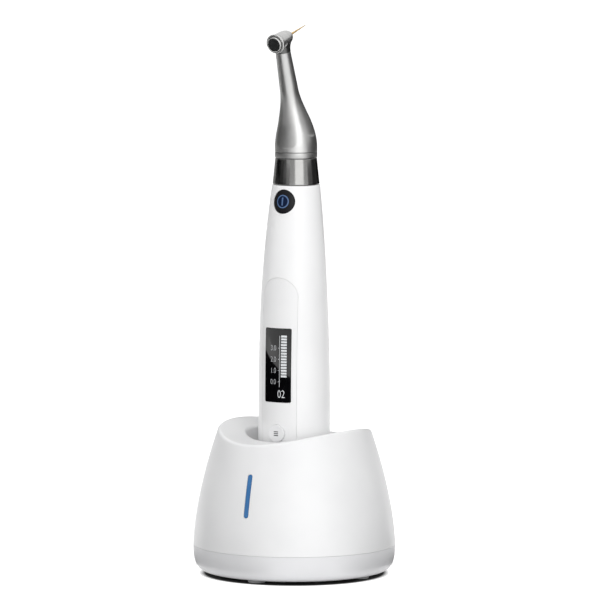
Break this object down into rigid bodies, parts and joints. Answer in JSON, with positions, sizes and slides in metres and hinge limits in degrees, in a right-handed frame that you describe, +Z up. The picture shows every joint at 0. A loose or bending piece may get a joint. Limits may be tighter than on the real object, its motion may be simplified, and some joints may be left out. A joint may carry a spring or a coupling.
{
  "type": "endodontic motor",
  "caption": "Cordless endodontic motor: a round white handpiece with a screen, buttons and a steel contra-angle with a file, standing in a tapered charging base.",
  "frame": {"origin": "on the table, under the middle of the charging base", "axes": "+Z up along the handpiece, -Y out of the screen and buttons, +X to the right seen from the front"},
  "size_m": [0.091, 0.091, 0.2471],
  "materials": {
    "white_gloss": "high gloss moulded plastic",
    "panel_white": "gloss moulded plastic",
    "tray_white": "gloss moulded plastic",
    "button_white": "satin moulded plastic",
    "screen_black": "polished black window",
    "black_plastic": "satin black plastic",
    "rubber_grey": "matte rubber",
    "light_blue": "translucent blue light pipe",
    "satin_steel": "satin steel",
    "dark_chrome": "polished dark chrome",
    "steel": "machined steel",
    "dark_steel": "blackened steel",
    "brass": "turned brass",
    "gold_titanium": "heat treated gold nickel titanium",
    "circuit_board": "green circuit board",
    "cell_sleeve": "shrink sleeve on a battery cell"
  },
  "bodies": {
    "base": {"base_top_shell": "white_gloss", "base_tray": "tray_white", "ballast_plate": "steel", "foot_front": "rubber_grey", "foot_right": "rubber_grey", "foot_back": "rubber_grey", "foot_left": "rubber_grey", "light_bar": "light_blue", "light_board": "circuit_board", "charge_board": "circuit_board", "charge_barrel_left": "brass", "charge_barrel_right": "brass", "dc_jack": "black_plastic", "base_screw_1": "steel", "base_screw_2": "steel", "base_screw_3": "steel", "base_screw_4": "steel"},
    "charge_pin_left": {"charge_pin_left": "brass"},
    "charge_pin_right": {"charge_pin_right": "brass"},
    "handpiece": {"handpiece_shell": "white_gloss", "front_panel": "panel_white", "screen_lens": "screen_black", "display_module": "black_plastic", "main_board": "circuit_board", "program_switch": "black_plastic", "power_switch": "black_plastic", "switch_board": "circuit_board", "battery_cell": "cell_sleeve", "motor_can": "steel", "gearhead": "dark_steel", "motor_mount": "dark_steel", "output_bearing": "brass", "collar_ring": "dark_chrome", "coupling_nose": "steel", "nose_o_ring": "rubber_grey", "bottom_cap": "black_plastic", "charge_contact_left": "steel", "charge_contact_right": "steel", "lead_socket": "black_plastic"},
    "motor_rotor": {"motor_shaft": "steel"},
    "program_button": {"program_button": "button_white"},
    "power_button": {"power_button": "black_plastic"},
    "swivel": {"swivel_ring": "satin_steel"},
    "contra_angle": {"contra_sleeve": "satin_steel", "head_housing": "satin_steel", "cap_ring": "dark_chrome", "cap_spring": "steel", "head_bearing_back": "brass", "head_bearing_front": "brass", "input_bearing": "brass", "neck_bearing": "brass"},
    "input_drive": {"input_shaft": "steel"},
    "neck_drive": {"neck_shaft": "steel"},
    "chuck": {"chuck_spindle": "steel"},
    "push_cap": {"push_cap": "dark_steel"},
    "file": {"root_canal_file": "gold_titanium"}
  },
  "joints": [
    {"name": "handpiece_lift", "type": "slide", "parent": "base", "child": "handpiece", "axis": [0, 0, 1], "range_m": [0, 0.06]},
    {"name": "charge_pin_left_press", "type": "slide", "parent": "base", "child": "charge_pin_left", "axis": [0, 0, 1], "range_m": [-0.001, 0], "stiffness_N_per_m": 60, "springref_m": 0.0015},
    {"name": "charge_pin_right_press", "type": "slide", "parent": "base", "child": "charge_pin_right", "axis": [0, 0, 1], "range_m": [-0.001, 0], "stiffness_N_per_m": 60, "springref_m": 0.0015},
    {"name": "program_press", "type": "slide", "parent": "handpiece", "child": "program_button", "axis": [0, 1, 0], "range_m": [0, 0.0005], "stiffness_N_per_m": 300, "springref_m": -0.0008},
    {"name": "power_press", "type": "slide", "parent": "handpiece", "child": "power_button", "axis": [0, 0.9888, -0.1491], "range_m": [0, 0.0006], "stiffness_N_per_m": 300, "springref_m": -0.0008},
    {"name": "motor_spin", "type": "hinge", "parent": "handpiece", "child": "motor_rotor", "pos_m": [0, 0.0017, 0.175], "axis": [0, 0, 1], "continuous": true},
    {"name": "contra_swivel", "type": "hinge", "parent": "handpiece", "child": "swivel", "pos_m": [0, 0.0017, 0.19], "axis": [0, 0, 1], "continuous": true},
    {"name": "contra_pull", "type": "slide", "parent": "swivel", "child": "contra_angle", "axis": [0, 0, 1], "range_m": [0, 0.02]},
    {"name": "input_spin", "type": "hinge", "parent": "contra_angle", "child": "input_drive", "pos_m": [0, 0.0017, 0.195], "axis": [0, 0, 1], "continuous": true},
    {"name": "neck_spin", "type": "hinge", "parent": "contra_angle", "child": "neck_drive", "pos_m": [0, 0.0017, 0.19877], "axis": [0, -0.3007, 0.9537], "continuous": true},
    {"name": "chuck_spin", "type": "hinge", "parent": "contra_angle", "child": "chuck", "pos_m": [0, -0.01174, 0.2414], "axis": [0, 0.9681, 0.2504], "continuous": true},
    {"name": "file_pull", "type": "slide", "parent": "chuck", "child": "file", "axis": [0, 0.9681, 0.2504], "range_m": [0, 0.014]},
    {"name": "cap_press", "type": "slide", "parent": "contra_angle", "child": "push_cap", "axis": [0, 0.9681, 0.2504], "range_m": [0, 0.0008], "stiffness_N_per_m": 400, "springref_m": -0.001}
  ],
  "couplings": [
    {"joint": "input_spin", "follows": "motor_spin", "ratio": 1},
    {"joint": "neck_spin", "follows": "motor_spin", "ratio": 1},
    {"joint": "chuck_spin", "follows": "motor_spin", "ratio": 0.5}
  ]
}
